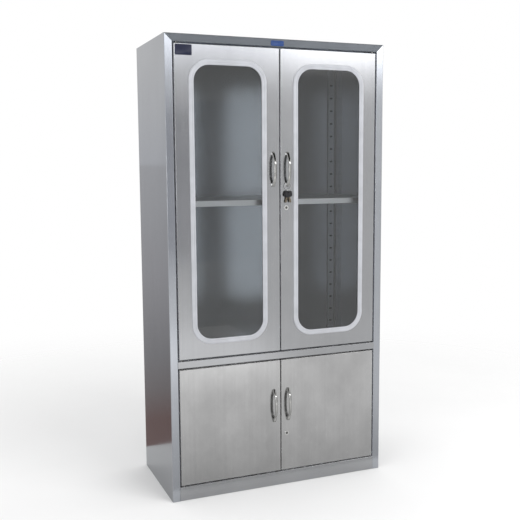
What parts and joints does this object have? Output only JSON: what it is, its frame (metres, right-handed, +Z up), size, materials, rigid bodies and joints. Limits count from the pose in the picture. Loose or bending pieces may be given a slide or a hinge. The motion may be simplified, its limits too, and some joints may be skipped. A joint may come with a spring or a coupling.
{
  "type": "instrument cabinet",
  "caption": "Tall stainless steel instrument cabinet with glazed upper doors over solid lower doors, bow handles, cam locks and an adjustable shelf.",
  "frame": {"origin": "on the floor, under the middle of the cabinet's bounding box, handles included", "axes": "+X to the right seen from the front, +Y to the back, +Z up"},
  "size_m": [0.9, 0.448, 1.75],
  "materials": {
    "stainless": "brushed",
    "chrome": "polished",
    "plated_steel": "satin",
    "light_rubber": "matte",
    "dark_rubber": "matte",
    "window_glass": "polished",
    "nylon": "matte",
    "key_plastic": "satin"
  },
  "bodies": {
    "carcass": {"left_side_panel": "stainless", "right_side_panel": "stainless", "top_panel": "stainless", "back_panel": "stainless", "middle_deck": "stainless", "bottom_deck": "stainless", "front_left_standard": "stainless", "front_right_standard": "stainless", "rear_left_standard": "stainless", "rear_right_standard": "stainless", "shelf_clips": "plated_steel", "hinge_pins": "plated_steel", "door_buffers": "dark_rubber"},
    "shelf": {"shelf": "stainless", "shelf_stiffener": "stainless"},
    "upper_left_door": {"upper_left_door_pan": "stainless", "upper_left_pivot_bushes": "nylon", "upper_left_handle": "chrome", "upper_left_handle_screws": "plated_steel", "upper_left_gasket": "light_rubber", "upper_left_glass": "window_glass", "upper_left_bolt_guides": "plated_steel"},
    "upper_right_door": {"upper_right_door_pan": "stainless", "upper_right_pivot_bushes": "nylon", "upper_right_handle": "chrome", "upper_right_handle_screws": "plated_steel", "upper_right_gasket": "light_rubber", "upper_right_glass": "window_glass", "upper_lock_housing": "chrome", "upper_lock_nut": "plated_steel"},
    "lower_left_door": {"lower_left_door_pan": "stainless", "lower_left_pivot_bushes": "nylon", "lower_left_handle": "chrome", "lower_left_handle_screws": "plated_steel", "lower_left_stiffener": "stainless", "lower_left_bolt_guides": "plated_steel"},
    "lower_right_door": {"lower_right_door_pan": "stainless", "lower_right_pivot_bushes": "nylon", "lower_right_handle": "chrome", "lower_right_handle_screws": "plated_steel", "lower_right_stiffener": "stainless", "lower_lock_housing": "chrome", "lower_lock_nut": "plated_steel"},
    "upper_left_top_bolt": {"upper_left_top_bolt": "plated_steel"},
    "upper_left_foot_bolt": {"upper_left_foot_bolt": "plated_steel"},
    "lower_left_top_bolt": {"lower_left_top_bolt": "plated_steel"},
    "upper_lock": {"upper_lock_plug": "chrome", "upper_lock_cam": "plated_steel", "upper_cam_screw": "plated_steel"},
    "lower_lock": {"lower_lock_plug": "chrome", "lower_lock_cam": "plated_steel", "lower_cam_screw": "plated_steel"},
    "keys": {"key_ring": "chrome", "key_heads": "key_plastic", "key_blades": "chrome"}
  },
  "joints": [
    {"name": "upper_left_door_hinge", "type": "hinge", "parent": "carcass", "child": "upper_left_door", "pos_m": [-0.403, -0.186, 1.1335], "axis": [0, 0, -1], "range_deg": [0, 110]},
    {"name": "upper_right_door_hinge", "type": "hinge", "parent": "carcass", "child": "upper_right_door", "pos_m": [0.403, -0.186, 1.1335], "axis": [0, 0, 1], "range_deg": [0, 110]},
    {"name": "lower_left_door_hinge", "type": "hinge", "parent": "carcass", "child": "lower_left_door", "pos_m": [-0.403, -0.186, 0.2865], "axis": [0, 0, -1], "range_deg": [0, 110]},
    {"name": "lower_right_door_hinge", "type": "hinge", "parent": "carcass", "child": "lower_right_door", "pos_m": [0.403, -0.186, 0.2865], "axis": [0, 0, 1], "range_deg": [0, 110]},
    {"name": "upper_lock_turn", "type": "hinge", "parent": "upper_right_door", "child": "upper_lock", "pos_m": [0.025, -0.196, 1.114], "axis": [0, 1, 0], "range_deg": [0, 90]},
    {"name": "lower_lock_turn", "type": "hinge", "parent": "lower_right_door", "child": "lower_lock", "pos_m": [0.025, -0.196, 0.212], "axis": [0, 1, 0], "range_deg": [0, 90]},
    {"name": "upper_left_top_bolt_slide", "type": "slide", "parent": "upper_left_door", "child": "upper_left_top_bolt", "axis": [0, 0, 1], "range_m": [0, 0.01]},
    {"name": "upper_left_foot_bolt_slide", "type": "slide", "parent": "upper_left_door", "child": "upper_left_foot_bolt", "axis": [0, 0, -1], "range_m": [0, 0.01]},
    {"name": "lower_left_top_bolt_slide", "type": "slide", "parent": "lower_left_door", "child": "lower_left_top_bolt", "axis": [0, 0, 1], "range_m": [0, 0.01]},
    {"name": "keys_swing", "type": "hinge", "parent": "upper_right_door", "child": "keys", "pos_m": [0.03, -0.1991, 1.1973], "axis": [0, 1, 0], "range_deg": [-35, 35]},
    {"name": "shelf_lift", "type": "slide", "parent": "carcass", "child": "shelf", "axis": [0, 0, 1], "range_m": [0, 0.05]}
  ]
}
